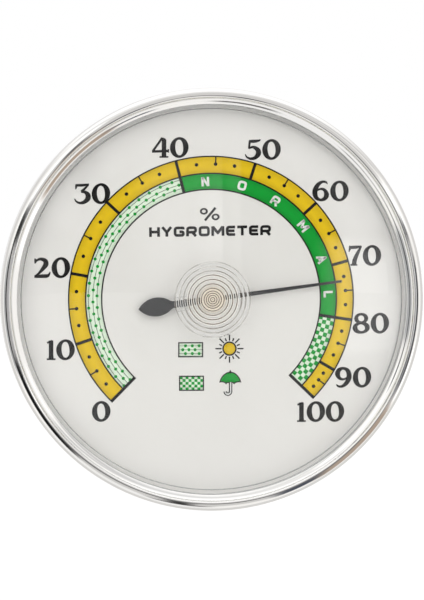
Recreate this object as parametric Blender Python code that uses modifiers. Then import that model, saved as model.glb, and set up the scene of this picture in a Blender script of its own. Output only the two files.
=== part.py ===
"""Dial hygrometer, 130 mm across: a round wall instrument with a humidity coil movement.

Everything is modelled in a face frame: X to the right, Y up the dial, Z out of the dial towards
the reader, with the spindle on the Z axis and Z = 0 at half depth. One empty turns that frame so
that the dial stands upright and looks along -Y.
"""

import math

import bmesh
import bpy

MM = 0.001

# Driving sizes
BODY_RADIUS = 65.0 * MM
BODY_DEPTH = 23.0 * MM
FRONT = BODY_DEPTH / 2
BACK = -BODY_DEPTH / 2
GAP = 0.3 * MM  # between pieces that touch
RUNNING = 0.08 * MM  # between a shaft and its bearing
MERGE = 0.01 * MM
SHARP = 30  # degrees between faces from which an edge stays sharp

# Bezel, spun from sheet
SHEET = 0.6 * MM
BEAD_RADIUS = 1.6 * MM
GROOVE_RADIUS = 61.9 * MM
LIP_RADIUS = 60.1 * MM
LIP_FALL = 0.9 * MM  # from the groove down to the lens
BEZEL_BACK = -1.2 * MM
BEZEL_HEM_RADIUS = 62.2 * MM  # where the edge turned under ends

# Rear case, moulded
CASE_RADIUS = 61.6 * MM
CASE_TAPER = 0.8 * MM
CASE_FLANGE_RADIUS = 64.1 * MM
CASE_FLANGE_BACK = -0.3 * MM
CASE_FLANGE_FRONT = 1.3 * MM
CASE_INSIDE_RADIUS = 59.2 * MM
RIM_TOP = 5.9 * MM
CASE_CORNER = 1.5 * MM
STAND_OFF_RADIUS = 53.0 * MM  # inside this the back is set in from the wall
BACK_PANEL = -10.8 * MM
FLOOR = -8.8 * MM
BOSS_RADIUS = 4.0 * MM
SCREW_SEAT = -9.4 * MM  # bottom of the wells that the screw heads sit in
CALIBRATION_HOLE_RADIUS = 5.0 * MM
CUT_BEYOND = 1.0 * MM  # how far a cutter passes the surface that it opens
VENT_COUNT = 24
VENT_TOP_CLEAR = 20  # degrees each side of the top without vents
VENT_LENGTH = 14.0 * MM
VENT_WIDTH = 2.6 * MM
VENT_RADIUS = 35.0 * MM
KEYHOLE_HEAD_RADIUS = 4.6 * MM
KEYHOLE_HEAD_Y = 41.0 * MM
KEYHOLE_NECK_RADIUS = 2.5 * MM
KEYHOLE_NECK_Y = 48.8 * MM

# Dial and lens
DIAL_RADIUS = 60.0 * MM
DIAL_BACK = 3.0 * MM
DIAL_FRONT = 3.6 * MM
LENS_WALL = 1.8 * MM
LENS_TOP = 10.6 * MM
LENS_EDGE = 8.5 * MM
LENS_FLANGE_BACK = 7.2 * MM
LENS_DOME_RADIUS = 58.8 * MM
LENS_SKIRT_WALL = 1.1 * MM
GASKET_INSIDE = 60.5 * MM
GASKET_OUTSIDE = 61.4 * MM
DIAL_BORE = 2.3 * MM

# Movement
PILLAR_COUNT = 3
PILLAR_ORBIT = 20.0 * MM
PILLAR_RADIUS = 2.0 * MM
SCREW_RADIUS = 0.8 * MM
SCREW_BORE = 1.1 * MM
SCREW_HEAD_RADIUS = 2.1 * MM
SCREW_CROSS = (1.3 * MM, 0.3 * MM)  # half length and half width of an arm of the recess
SCREW_CROSS_TURN = 12
FRONT_SCREW = (0.7 * MM, 4.5 * MM)  # head and shank
CASE_SCREW = (0.95 * MM, 6.4 * MM)
CASE_SCREW_BASE = -9.7 * MM
PLATE_RADIUS = 24.0 * MM
PLATE_BORE = 2.5 * MM
WINDOW = (7.0 * MM, 19.0 * MM)  # inner and outer radius of a window in the front plate
WINDOW_HALF = (22, 38)  # its half angle at those radii
REAR_PLATE = (-6.9 * MM, -6.1 * MM)
FRONT_PLATE = (1.0 * MM, 1.8 * MM)
SPINDLE_RADIUS = 0.8 * MM
SPINDLE_ZONE = (-7.6 * MM, 6.5 * MM)
STEM_RADIUS = 3.0 * MM
STEM_HEAD_RADIUS = 4.5 * MM
STEM_HEAD = (-10.3 * MM, -8.5 * MM)
STEM_TIP_RADIUS = 2.4 * MM
STEM_SHOULDER = -5.7 * MM
STEM_TOP = -4.6 * MM
STEM_BORE_BOTTOM = -8.0 * MM
STEM_SLOT = (0.5 * MM, 0.9 * MM)  # half width and depth
FRICTION_WASHER = (-8.2 * MM, -7.2 * MM)
FRICTION_WASHER_RADIUS = 4.6 * MM
ARM_RADIUS = 15.6 * MM
ARM_SHEET = 0.6 * MM
ARM_EYE_RADIUS = 4.6 * MM
ARM_EYE_BORE = 2.7 * MM
ARM_TIP_RADIUS = 1.6 * MM
STUD_RADIUS = 0.6 * MM
STUD_HOLE = 0.9 * MM
COIL_TURNS = 5.5
COIL_START = 150.0
COIL_END = COIL_START + 360 * COIL_TURNS
COIL_INNER = 2.9 * MM
COIL_OUTER = 14.4 * MM
COIL_ZONE = (-4.2 * MM, -0.2 * MM)
COIL_STRIP = 0.3 * MM
COLLET_RADIUS = 2.3 * MM
COLLET_OVERHANG = 0.1 * MM
BUSH = (1.9 * MM, 3.4 * MM)  # radius of its neck and of its flange
BUSH_LEVELS = (0.2 * MM, 0.7 * MM, 0.8 * MM, 3.3 * MM)  # bottom, flange edge, shoulder, top

# Pointer
POINTER_ANGLE = 82.2  # degrees clockwise from straight up, where the pointer rests
POINTER_LENGTH = 40.6 * MM
POINTER_ZONE = (5.6 * MM, 6.0 * MM)
LEAF_TIP = 22.8 * MM
LEAF_MIDDLE = 17.1 * MM
LEAF_HALF_WIDTH = 2.9 * MM
NECK_HALF_WIDTH = 1.1 * MM
NEEDLE_TIP_HALF = 0.38 * MM
NEEDLE_ROOT_HALF = 0.8 * MM
EYE_RADIUS = 3.2 * MM
BOSS_STEM_RADIUS = 1.6 * MM
POINTER_BOSS_RADIUS = 3.4 * MM
POINTER_BOSS_TOP = 7.6 * MM
POINTER_BOSS_BORE_TOP = 6.8 * MM
BOSS_STEM_BOTTOM = 4.2 * MM
COLLAR_RADIUS = 2.8 * MM
COLLAR_BOTTOM = 4.6 * MM

for old in list(bpy.data.objects):
    bpy.data.objects.remove(old, do_unlink=True)

parts = bpy.data.collections.new("dial_hygrometer")
cutters = bpy.data.collections.new("cutters")
for group in (parts, cutters):
    bpy.context.scene.collection.children.link(group)


def empty(name, parent=None):
    """An empty that only carries a frame; turning pieces are parented to one on their axis."""
    frame = bpy.data.objects.new(name, None)
    frame.parent = parent
    parts.objects.link(frame)
    return frame


face = empty("face_frame")
face.rotation_euler = (math.radians(90), 0, 0)
calibration_axis = empty("calibration_axis", face)
pointer_axis = empty("pointer_axis", calibration_axis)
pointer_axis.rotation_euler = (0, 0, -math.radians(POINTER_ANGLE))


def material(name, colour, roughness, metallic=0.0, transmission=0.0):
    paint = bpy.data.materials.new(name)
    paint.use_nodes = True
    shader = paint.node_tree.nodes["Principled BSDF"]
    shader.inputs["Base Color"].default_value = (*colour, 1)
    shader.inputs["Roughness"].default_value = roughness
    shader.inputs["Metallic"].default_value = metallic
    shader.inputs["Transmission Weight"].default_value = transmission
    return paint


CHROME = ((0.8, 0.8, 0.82), 0.08, 1.0)
BRASS = ((0.72, 0.53, 0.24), 0.3, 1.0)
STEEL = ((0.55, 0.55, 0.56), 0.3, 1.0)
CASE_PLASTIC = ((0.62, 0.62, 0.6), 0.5)
CLEAR = ((0.97, 0.98, 0.98), 0.03, 0.0, 1.0)
RUBBER = ((0.03, 0.03, 0.03), 0.8)
WHITE_PRINT = ((0.76, 0.75, 0.72), 0.45)
BLACK_PAINT = ((0.03, 0.03, 0.032), 0.4)
COIL_FILM = ((0.55, 0.4, 0.2), 0.55)


def polar(radius, degrees, centre=(0.0, 0.0)):
    """A point at a radius and an angle anticlockwise from +X."""
    turn = math.radians(degrees)
    return (centre[0] + radius * math.cos(turn), centre[1] + radius * math.sin(turn))


def arc(centre, radius, start, end, steps):
    """Points along an arc, both ends included."""
    return [polar(radius, start + (end - start) * i / steps, centre) for i in range(steps + 1)]


def ring(radius, count, centre=(0.0, 0.0)):
    return arc(centre, radius, 0, 360, count)[:-1]


def add(name, data, place, parent, paint, holder=parts):
    obj = bpy.data.objects.new(name, data)
    obj.location = place
    obj.parent = parent
    holder.objects.link(obj)
    if paint:
        data.materials.append(material(name, *paint))
    return obj


def turned(name, profile, paint, place=(0, 0, 0), parent=face, steps=24, closed=True, wall=0.0):
    """A piece turned about Z from (radius, height) points that run down its outer side.

    A profile that is not closed either ends on the axis at both ends or is a sheet of the
    thickness given by wall, which lies on the inner side of the profile.
    """
    mesh = bpy.data.meshes.new(name)
    count = len(profile)
    edges = [(i, (i + 1) % count) for i in range(count if closed else count - 1)]
    mesh.from_pydata([(r, 0, z) for r, z in profile], edges, [])
    obj = add(name, mesh, place, parent, paint, parts if paint else cutters)
    lathe = obj.modifiers.new("Lathe", "SCREW")
    lathe.steps = lathe.render_steps = steps
    lathe.use_merge_vertices = True
    lathe.merge_threshold = MERGE
    if wall:
        sheet = obj.modifiers.new("Sheet", "SOLIDIFY")
        sheet.thickness = wall
        sheet.offset = -1
    return obj


def disc(name, radius, low, high, paint, place=(0, 0, 0), parent=face, steps=24):
    return turned(name, [(0, high), (radius, high), (radius, low), (0, low)], paint, place,
                  parent, steps, closed=False)


def washer(name, bore, radius, low, high, paint, place=(0, 0, 0), parent=face, steps=24):
    return turned(name, [(bore, high), (radius, high), (radius, low), (bore, low)], paint, place,
                  parent, steps)


def flat(name, outlines, zone, paint, place=(0, 0, 0), parent=face):
    """A sheet piece: closed outlines in the XY plane, filled between and given its thickness."""
    curve = bpy.data.curves.new(name, "CURVE")
    curve.dimensions = "2D"
    curve.fill_mode = "BOTH"
    curve.extrude = (zone[1] - zone[0]) / 2
    for outline in outlines:
        spline = curve.splines.new("POLY")
        spline.points.add(len(outline) - 1)
        for point, (x, y) in zip(spline.points, outline):
            point.co = (x, y, 0, 1)
        spline.use_cyclic_u = True
    height = (zone[0] + zone[1]) / 2
    return add(name, curve, (place[0], place[1], place[2] + height), parent, paint,
               parts if paint else cutters)


def joined(name, pieces):
    """One solid for a Boolean, from cutters that stand clear of each other."""
    bpy.context.view_layer.update()
    graph = bpy.context.evaluated_depsgraph_get()
    work = bmesh.new()
    for piece in pieces:
        shape = bpy.data.meshes.new_from_object(piece.evaluated_get(graph))
        shape.transform(piece.matrix_world)
        work.from_mesh(shape)
    for piece in pieces:
        bpy.data.objects.remove(piece)
    bmesh.ops.remove_doubles(work, verts=work.verts, dist=MERGE)
    mesh = bpy.data.meshes.new(name)
    work.to_mesh(mesh)
    work.free()
    return add(name, mesh, (0, 0, 0), None, None, cutters)


def combine(obj, tool, operation="DIFFERENCE"):
    tool.hide_render = True
    tool.display_type = "WIRE"
    step = obj.modifiers.new(tool.name, "BOOLEAN")
    step.operation = operation
    step.solver = "EXACT"
    step.object = tool


def pillar_place(index):
    x, y = polar(PILLAR_ORBIT, 90 + 360 * index / PILLAR_COUNT)
    return (x, y, 0)


def rear_case():
    """The moulded cup: floor, wall, flange for the bezel and rim that centres dial and lens."""
    back_radius = CASE_RADIUS - CASE_TAPER
    profile = [
        (0, FLOOR),
        (CASE_INSIDE_RADIUS - CASE_TAPER, FLOOR),
        (CASE_INSIDE_RADIUS, DIAL_BACK - GAP),
        (DIAL_RADIUS + GAP, DIAL_BACK - GAP),
        (DIAL_RADIUS + GAP, RIM_TOP),
        (CASE_RADIUS + GAP, RIM_TOP),
        (CASE_RADIUS + GAP, CASE_FLANGE_FRONT),
        (CASE_FLANGE_RADIUS, CASE_FLANGE_FRONT),
        (CASE_FLANGE_RADIUS, CASE_FLANGE_BACK),
        (CASE_RADIUS, CASE_FLANGE_BACK),
        *arc((back_radius - CASE_CORNER, BACK + CASE_CORNER), CASE_CORNER, 0, -90, 4),
        (STAND_OFF_RADIUS, BACK),
        (STAND_OFF_RADIUS - (BACK_PANEL - BACK), BACK_PANEL),
        (0, BACK_PANEL),
    ]
    case = turned("rear_case", profile, CASE_PLASTIC, steps=64, closed=False)
    boss_top = REAR_PLATE[0] - GAP
    places = [pillar_place(index) for index in range(PILLAR_COUNT)]
    bosses = [disc("boss", BOSS_RADIUS, (FLOOR + SCREW_SEAT) / 2, boss_top, None, place)
              for place in places]
    combine(case, joined("bosses", bosses), "UNION")
    combine(case, joined("case_holes", case_holes(boss_top, places)))


def case_holes(boss_top, places):
    """Stepped screw holes, the adjuster's hole, the keyhole and the ring of vent slots."""
    outside = BACK_PANEL - CUT_BEYOND
    inside = boss_top + CUT_BEYOND
    well = SCREW_HEAD_RADIUS + 0.4 * MM
    stepped = [(0, inside), (SCREW_BORE, inside), (SCREW_BORE, SCREW_SEAT), (well, SCREW_SEAT),
               (well, outside), (0, outside)]
    holes = [turned("screw_hole", stepped, None, place, steps=24, closed=False)
             for place in places]
    through = (BACK - CUT_BEYOND, FLOOR + CUT_BEYOND)
    holes.append(disc("calibration_hole", CALIBRATION_HOLE_RADIUS, *through, None))
    neck_turn = math.degrees(math.acos(KEYHOLE_NECK_RADIUS / KEYHOLE_HEAD_RADIUS))
    keyhole = (arc((0, KEYHOLE_HEAD_Y), KEYHOLE_HEAD_RADIUS, 180 - neck_turn, 360 + neck_turn, 24)
               + arc((0, KEYHOLE_NECK_Y), KEYHOLE_NECK_RADIUS, 0, 180, 12))
    holes.append(flat("keyhole", [keyhole], through, None))
    end = VENT_WIDTH / 2
    reach = VENT_LENGTH / 2 - end
    slot_outline = arc((reach, 0), end, -90, 90, 4) + arc((-reach, 0), end, 90, 270, 4)
    for index in range(VENT_COUNT):
        degrees = 360 * index / VENT_COUNT
        if abs(degrees - 90) > VENT_TOP_CLEAR:
            vent = flat("vent", [slot_outline], through, None, (*polar(VENT_RADIUS, degrees), 0))
            vent.rotation_euler = (0, 0, math.radians(degrees))
            holes.append(vent)
    return holes


def bezel():
    """The spun ring: lip over the lens, groove, rolled bead, skirt and the edge turned under."""
    bead = (BODY_RADIUS - BEAD_RADIUS, FRONT - BEAD_RADIUS)
    groove_turn = math.degrees(math.acos((GROOVE_RADIUS - bead[0]) / BEAD_RADIUS))
    groove = polar(BEAD_RADIUS, groove_turn, bead)
    edge = SHEET / 2
    profile = [
        (LIP_RADIUS, groove[1] - LIP_FALL),
        (groove[0] - 0.1 * MM, groove[1] - 0.15 * MM),
        *arc(bead, BEAD_RADIUS, groove_turn, 0, 7),
        *arc((BODY_RADIUS - edge, BEZEL_BACK + edge), edge, 0, -90, 2),
        (BEZEL_HEM_RADIUS, BEZEL_BACK),
    ]
    turned("bezel_ring", profile, CHROME, steps=64, closed=False, wall=SHEET)


def lens():
    """The clear cover: a low dome with a skirt that holds the dial down and a flange."""
    rise = LENS_TOP - LENS_EDGE
    dome = (LENS_DOME_RADIUS ** 2 + rise ** 2) / (2 * rise)

    def height(radius, top):
        return top - dome + math.sqrt(dome ** 2 - radius ** 2)

    outer = [LENS_DOME_RADIUS * i / 4 for i in range(5)]
    skirt_inside = DIAL_RADIUS - LENS_SKIRT_WALL
    inner = [skirt_inside * i / 4 for i in range(4, -1, -1)]
    profile = [
        *[(r, height(r, LENS_TOP)) for r in outer],
        (CASE_RADIUS, LENS_EDGE),
        (CASE_RADIUS, LENS_FLANGE_BACK),
        (DIAL_RADIUS, LENS_FLANGE_BACK),
        (DIAL_RADIUS, DIAL_FRONT + GAP),
        (skirt_inside, DIAL_FRONT + GAP),
        *[(r, height(r, LENS_TOP - LENS_WALL)) for r in inner],
    ]
    turned("lens", profile, CLEAR, steps=64, closed=False)


def front_pieces():
    """The seal under the lens flange and the printed dial plate."""
    washer("lens_gasket", GASKET_INSIDE, GASKET_OUTSIDE, RIM_TOP + GAP, LENS_FLANGE_BACK - GAP,
           RUBBER, steps=64)
    washer("dial_plate", DIAL_BORE, DIAL_RADIUS, DIAL_BACK, DIAL_FRONT, WHITE_PRINT, steps=64)


def movement_frame():
    """Two plates on three pillars, each pillar with a screw from the front and from behind."""
    bores = [ring(SCREW_BORE, 16, pillar_place(i)[:2]) for i in range(PILLAR_COUNT)]
    rear = [ring(PLATE_RADIUS, 48), ring(STEM_RADIUS + RUNNING, 32), *bores]
    flat("movement_rear_plate", rear, REAR_PLATE, BRASS)
    windows = []
    for index in range(PILLAR_COUNT):
        middle = 30 + 360 * index / PILLAR_COUNT  # half way between two pillars
        near, far = WINDOW_HALF
        windows.append(arc((0, 0), WINDOW[1], middle - far, middle + far, 10)
                       + arc((0, 0), WINDOW[0], middle + near, middle - near, 4))
    front = [ring(PLATE_RADIUS, 48), ring(PLATE_BORE, 24), *windows, *bores]
    flat("movement_front_plate", front, FRONT_PLATE, BRASS)
    for index in range(PILLAR_COUNT):
        place = pillar_place(index)
        washer(f"movement_pillar_{index + 1}", SCREW_BORE, PILLAR_RADIUS, REAR_PLATE[1] + GAP,
               FRONT_PLATE[0] - GAP, BRASS, place, steps=16)
        screw(f"front_screw_{index + 1}", FRONT_PLATE[1] + GAP, *FRONT_SCREW, 1, place)
        screw(f"case_screw_{index + 1}", CASE_SCREW_BASE, *CASE_SCREW, -1, place)


def screw(name, seat, head, length, side, place):
    """A cheese-head screw on the plane z = seat; side is 1 if its head points to the reader."""
    profile = [(0, head), (SCREW_HEAD_RADIUS * 0.8, head), (SCREW_HEAD_RADIUS, head * 0.6),
               (SCREW_HEAD_RADIUS, 0), (SCREW_RADIUS, 0), (SCREW_RADIUS, -length), (0, -length)]
    body = turned(name, profile, STEEL, (place[0], place[1], seat), steps=16, closed=False)
    if side < 0:
        body.rotation_euler = (math.radians(180), 0, 0)
    wide, narrow = SCREW_CROSS
    corners = [(wide, -narrow), (wide, narrow), (narrow, narrow)]
    cross = [(x * math.cos(turn) - y * math.sin(turn), x * math.sin(turn) + y * math.cos(turn))
             for turn in (math.radians(90 * i + SCREW_CROSS_TURN) for i in range(4))
             for x, y in corners]
    recess = flat(f"{name}_recess", [cross], (head * 0.4, head * 1.5), None, parent=body)
    combine(body, joined(f"{name}_recess", [recess]))


def calibrator():
    """The adjuster: a slotted head behind, its stem in the rear plate, and the coil's arm."""
    bore = SPINDLE_RADIUS + RUNNING
    head_back, head_front = STEM_HEAD
    profile = [
        (0, STEM_BORE_BOTTOM), (bore, STEM_BORE_BOTTOM), (bore, STEM_TOP),
        (STEM_TIP_RADIUS, STEM_TOP), (STEM_TIP_RADIUS, STEM_SHOULDER),
        (STEM_RADIUS, STEM_SHOULDER), (STEM_RADIUS, head_front), (STEM_HEAD_RADIUS, head_front),
        (STEM_HEAD_RADIUS, head_back), (0, head_back),
    ]
    stem = turned("calibration_stem", profile, BRASS, parent=calibration_axis, closed=False)
    half, depth = STEM_SLOT
    reach = STEM_HEAD_RADIUS + CUT_BEYOND
    across = [(-reach, -half), (reach, -half), (reach, half), (-reach, half)]
    cut = flat("calibration_slot", [across], (head_back - CUT_BEYOND, head_back + depth), None)
    combine(stem, joined("calibration_slot", [cut]))
    washer("friction_washer", STEM_RADIUS + GAP, FRICTION_WASHER_RADIUS, *FRICTION_WASHER, STEEL,
           parent=calibration_axis)
    low = STEM_SHOULDER + GAP
    start = math.degrees(math.asin(ARM_TIP_RADIUS / ARM_EYE_RADIUS))
    outline = (arc((0, 0), ARM_EYE_RADIUS, start, 360 - start, 24)
               + arc((ARM_RADIUS, 0), ARM_TIP_RADIUS, -90, 90, 8))
    stud_hole = ring(STUD_HOLE, 12, (ARM_RADIUS, 0))
    arm = flat("calibration_arm", [outline, ring(ARM_EYE_BORE, 24), stud_hole],
               (low, low + ARM_SHEET), BRASS, parent=calibration_axis)
    arm.rotation_euler = (0, 0, math.radians(COIL_END))
    stud = [(0, COIL_ZONE[1]), (STUD_RADIUS, COIL_ZONE[1]), (STUD_RADIUS, low), (0, low)]
    x, y = polar(ARM_RADIUS, COIL_END)
    turned("coil_stud", stud, BRASS, (x, y, 0), calibration_axis, 12, closed=False)


def coil():
    """The humidity coil: a flat spiral ribbon from the collet out to the stud."""
    curve = bpy.data.curves.new("humidity_coil", "CURVE")
    curve.dimensions = "2D"
    curve.fill_mode = "NONE"
    curve.extrude = (COIL_ZONE[1] - COIL_ZONE[0]) / 2
    steps = int(COIL_TURNS * 14)
    spline = curve.splines.new("POLY")
    spline.points.add(steps)
    for i, point in enumerate(spline.points):
        share = i / steps
        radius = COIL_INNER + (COIL_OUTER - COIL_INNER) * share
        point.co = (*polar(radius, COIL_START + (COIL_END - COIL_START) * share), 0, 1)
    obj = add("humidity_coil", curve, (0, 0, sum(COIL_ZONE) / 2), calibration_axis, COIL_FILM)
    ribbon = obj.modifiers.new("Ribbon", "SOLIDIFY")
    ribbon.thickness = COIL_STRIP
    ribbon.offset = 0


def spindle_group():
    """What turns with the pointer: spindle, collet, boss, collar and the pointer itself."""
    disc("spindle", SPINDLE_RADIUS, *SPINDLE_ZONE, STEEL, parent=pointer_axis)
    fit = SPINDLE_RADIUS + RUNNING
    washer("coil_collet", fit, COLLET_RADIUS, COIL_ZONE[0] - COLLET_OVERHANG,
           COIL_ZONE[1] + COLLET_OVERHANG, BRASS, parent=pointer_axis)
    stem = BOSS_STEM_RADIUS
    wide = POINTER_BOSS_RADIUS
    top = POINTER_BOSS_TOP
    seat = POINTER_ZONE[1] + GAP
    boss = [
        (0, top), (stem, top - 0.1 * MM), (wide - 0.2 * MM, top - 0.6 * MM), (wide, top - 0.9 * MM),
        (wide, seat), (stem, seat), (stem, BOSS_STEM_BOTTOM), (fit, BOSS_STEM_BOTTOM),
        (fit, POINTER_BOSS_BORE_TOP), (0, POINTER_BOSS_BORE_TOP),
    ]
    turned("pointer_boss", boss, BRASS, parent=pointer_axis, closed=False)
    washer("pointer_collar", stem + RUNNING, COLLAR_RADIUS, COLLAR_BOTTOM, POINTER_ZONE[0] - GAP,
           BRASS, parent=pointer_axis)
    flat("pointer", [pointer_outline(), ring(stem + GAP, 24)], POINTER_ZONE, BLACK_PAINT,
         parent=pointer_axis)


def pointer_outline():
    """A slim needle upwards, a round eye, and a neck with a leaf-shaped weight below."""
    tip, eye = NEEDLE_TIP_HALF, EYE_RADIUS
    rise = LEAF_TIP - LEAF_MIDDLE
    bend = (rise ** 2 + LEAF_HALF_WIDTH ** 2) / (2 * LEAF_HALF_WIDTH)
    half = math.degrees(math.asin(rise / bend))
    neck = math.degrees(math.asin(math.sqrt(bend ** 2 - (bend - LEAF_HALF_WIDTH
                                                         + NECK_HALF_WIDTH) ** 2) / bend))
    centre = bend - LEAF_HALF_WIDTH
    right = arc((-centre, -LEAF_MIDDLE), bend, neck, -half, 10)
    left = arc((centre, -LEAF_MIDDLE), bend, 180 + half, 180 - neck, 10)[1:]
    at_root = math.degrees(math.asin(NEEDLE_ROOT_HALF / eye))
    at_neck = math.degrees(math.asin(NECK_HALF_WIDTH / eye))
    return ([(-tip, POINTER_LENGTH), (tip, POINTER_LENGTH)]
            + arc((0, 0), eye, 90 - at_root, -90 + at_neck, 10)
            + right + left
            + arc((0, 0), eye, 270 - at_neck, 90 + at_root, 10))


def front_bush():
    """The bearing that carries the spindle through the front plate and the dial."""
    bore = SPINDLE_RADIUS + RUNNING
    neck, flange = BUSH
    bottom, edge, shoulder, top = BUSH_LEVELS
    profile = [(bore, top), (neck, top), (neck, shoulder), (flange, edge), (flange, bottom),
               (bore, bottom)]
    turned("front_bush", profile, BRASS)


def shade():
    """Smooth shading over the turned meshes, with the corners kept sharp."""
    graph = bpy.context.evaluated_depsgraph_get()
    shaded = [(obj, bpy.data.meshes.new_from_object(obj.evaluated_get(graph)))
              for obj in parts.objects if obj.type == "MESH"]
    for obj, mesh in shaded:
        obj.modifiers.clear()
        obj.data = mesh
        mesh.shade_smooth()
        mesh.set_sharp_from_angle(angle=math.radians(SHARP))


rear_case()
bezel()
lens()
front_pieces()
movement_frame()
calibrator()
coil()
front_bush()
spindle_group()
shade()
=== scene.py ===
import math

import bmesh
import bpy
from mathutils import Matrix, Vector


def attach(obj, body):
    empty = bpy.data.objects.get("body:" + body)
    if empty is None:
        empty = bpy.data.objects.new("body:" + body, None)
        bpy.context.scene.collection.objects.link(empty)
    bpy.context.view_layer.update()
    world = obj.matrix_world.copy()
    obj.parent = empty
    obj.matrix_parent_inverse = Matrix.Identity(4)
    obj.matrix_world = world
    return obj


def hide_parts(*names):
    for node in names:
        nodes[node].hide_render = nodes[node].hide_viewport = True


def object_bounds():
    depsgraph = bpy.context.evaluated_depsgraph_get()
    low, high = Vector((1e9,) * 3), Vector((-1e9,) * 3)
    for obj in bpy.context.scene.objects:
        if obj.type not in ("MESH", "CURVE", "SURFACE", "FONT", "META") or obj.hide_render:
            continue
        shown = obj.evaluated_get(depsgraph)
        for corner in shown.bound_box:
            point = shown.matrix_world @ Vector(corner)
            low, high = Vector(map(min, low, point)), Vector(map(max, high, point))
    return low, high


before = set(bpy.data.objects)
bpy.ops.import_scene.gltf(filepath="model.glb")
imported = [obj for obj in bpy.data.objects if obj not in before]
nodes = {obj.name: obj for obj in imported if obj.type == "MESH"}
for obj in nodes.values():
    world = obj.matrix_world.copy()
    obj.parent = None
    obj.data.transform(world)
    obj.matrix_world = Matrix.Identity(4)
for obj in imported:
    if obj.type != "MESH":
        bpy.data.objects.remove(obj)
cad_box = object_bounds()

# Rear case: one grey ABS moulding. A spark-eroded tool leaves its fine even grain. The case carries
# everything: vents for the air, a keyhole to hang it by, and a stand-off ring that meets the wall.
MM = 0.001
FACE = Matrix.Rotation(math.radians(90), 4, "X")  # face frame: X right, Y up the dial, Z outwards
CASE_GREY = (0.56, 0.565, 0.56)
VENTS = 24
VENT_RADIUS = 35.0 * MM
VENT_LENGTH = 14.0 * MM
VENT_WIDTH = 2.6 * MM
PILLAR_ORBIT = 20.0 * MM
PILLAR_TURNS = (90, 210, 330)


class Field:
    """A socket of a node tree. Python's operators on it add Math nodes."""

    def __init__(self, tree, socket=None):
        self.tree = tree
        self.socket = socket

    def node(self, kind, settings=None, inputs=None, output=0):
        """A node of this kind with its settings, then its inputs' values or links."""
        made = self.tree.nodes.new(kind)
        for key, value in (settings or {}).items():
            setattr(made, key, value)
        for key, value in (inputs or {}).items():
            if isinstance(value, Field):
                self.tree.links.new(value.socket, made.inputs[key])
            else:
                made.inputs[key].default_value = value
        return Field(self.tree, made.outputs[output])

    def maths(self, operation, other=0.0):
        return self.node("ShaderNodeMath", {"operation": operation}, {0: self, 1: other})

    def __add__(self, other):
        return self.maths("ADD", other)

    def __sub__(self, other):
        return self.maths("SUBTRACT", other)

    def __mul__(self, other):
        return self.maths("MULTIPLY", other)

    def __truediv__(self, other):
        return self.maths("DIVIDE", other)

    def __rsub__(self, other):
        return self.node("ShaderNodeMath", {"operation": "SUBTRACT"}, {0: other, 1: self})

    __radd__ = __add__
    __rmul__ = __mul__

    def step(self, low, high):
        """0 below low, 1 above high and smooth between."""
        return self.node("ShaderNodeMapRange", {"interpolation_type": "SMOOTHSTEP"},
                         {"Value": self, "From Min": low, "From Max": high})

    def noise(self, scale, detail=2.0, rough=0.5):
        return self.node("ShaderNodeTexNoise", None,
                         {"Vector": self, "Scale": scale, "Detail": detail, "Roughness": rough})

    def tint(self, first, second):
        """The first colour where this is 0 and the second where it is 1."""
        colours = [c if isinstance(c, Field) else (*c, 1) for c in (first, second)]
        return self.node("ShaderNodeMix", {"data_type": "RGBA"},
                         {0: self, 6: colours[0], 7: colours[1]}, output=2)

    def stretched(self, scale):
        """This vector times another, axis by axis."""
        return self.node("ShaderNodeVectorMath", {"operation": "MULTIPLY"}, {0: self, 1: scale})

    def axis(self, name):
        return self.node("ShaderNodeSeparateXYZ", None, {0: self}, output="XYZ".index(name))

    def bump(self, depth, strength=1.0):
        return self.node("ShaderNodeBump", None,
                         {"Height": self, "Distance": depth, "Strength": strength})


def finish_named(name):
    """A new material: its Principled shader, and the place on the piece as a vector."""
    made = bpy.data.materials.new(name)
    made.use_nodes = True
    place = Field(made.node_tree).node("ShaderNodeTexCoord", output="Object")
    return made, made.node_tree.nodes["Principled BSDF"], place


def feed(shader, inputs):
    for key, value in inputs.items():
        if isinstance(value, Field):
            value.tree.links.new(value.socket, shader.inputs[key])
        elif isinstance(value, tuple):
            shader.inputs[key].default_value = (*value, 1)
        else:
            shader.inputs[key].default_value = value


def shaded(colour, factor):
    """The colour made lighter or darker."""
    return tuple(min(c * factor, 1) for c in colour)


def moulded(name, colour):
    made, shader, place = finish_named(name)
    grain = place.noise(2600, 2.0)
    drift = place.noise(45, 3.0)
    feed(shader, {
        "Base Color": (drift * 0.7 + grain * 0.3).tint(shaded(colour, 0.9), shaded(colour, 1.06)),
        "Roughness": grain * 0.16 + 0.4,
        "Specular IOR Level": 0.45,
        "Normal": grain.bump(0.03 * MM, 0.5),
    })
    return made


def polar(radius, degrees, centre=(0.0, 0.0)):
    turn = math.radians(degrees)
    return (centre[0] + radius * math.cos(turn), centre[1] + radius * math.sin(turn))


def arc(centre, radius, start, end, steps):
    return [polar(radius, start + (end - start) * i / steps, centre) for i in range(steps + 1)]


def rounded(corners, radius, steps=5):
    """A closed (radius, height) outline with its corners rounded; a corner may name its own."""
    points = []
    count = len(corners)
    for i, corner in enumerate(corners):
        here = Vector(corner[:2])
        size = corner[2] if len(corner) > 2 else radius
        before = Vector(corners[i - 1][:2]) - here
        after = Vector(corners[(i + 1) % count][:2]) - here
        if size == 0:
            points.append(tuple(here))
            continue
        reach = min(size, before.length * 0.48, after.length * 0.48)
        first = here + before.normalized() * reach
        last = here + after.normalized() * reach
        for step in range(steps + 1):
            t = step / steps
            points.append(tuple(first * (1 - t) ** 2 + here * 2 * t * (1 - t) + last * t ** 2))
    return points


def circle(centre, radius, count):
    """A closed outline of count points round a centre."""
    return arc(centre, radius, 0, 360 - 360 / count, count - 1)


def placed(name, data):
    """A new object in the scene."""
    made = bpy.data.objects.new(name, data)
    bpy.context.scene.collection.objects.link(made)
    return made


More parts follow.
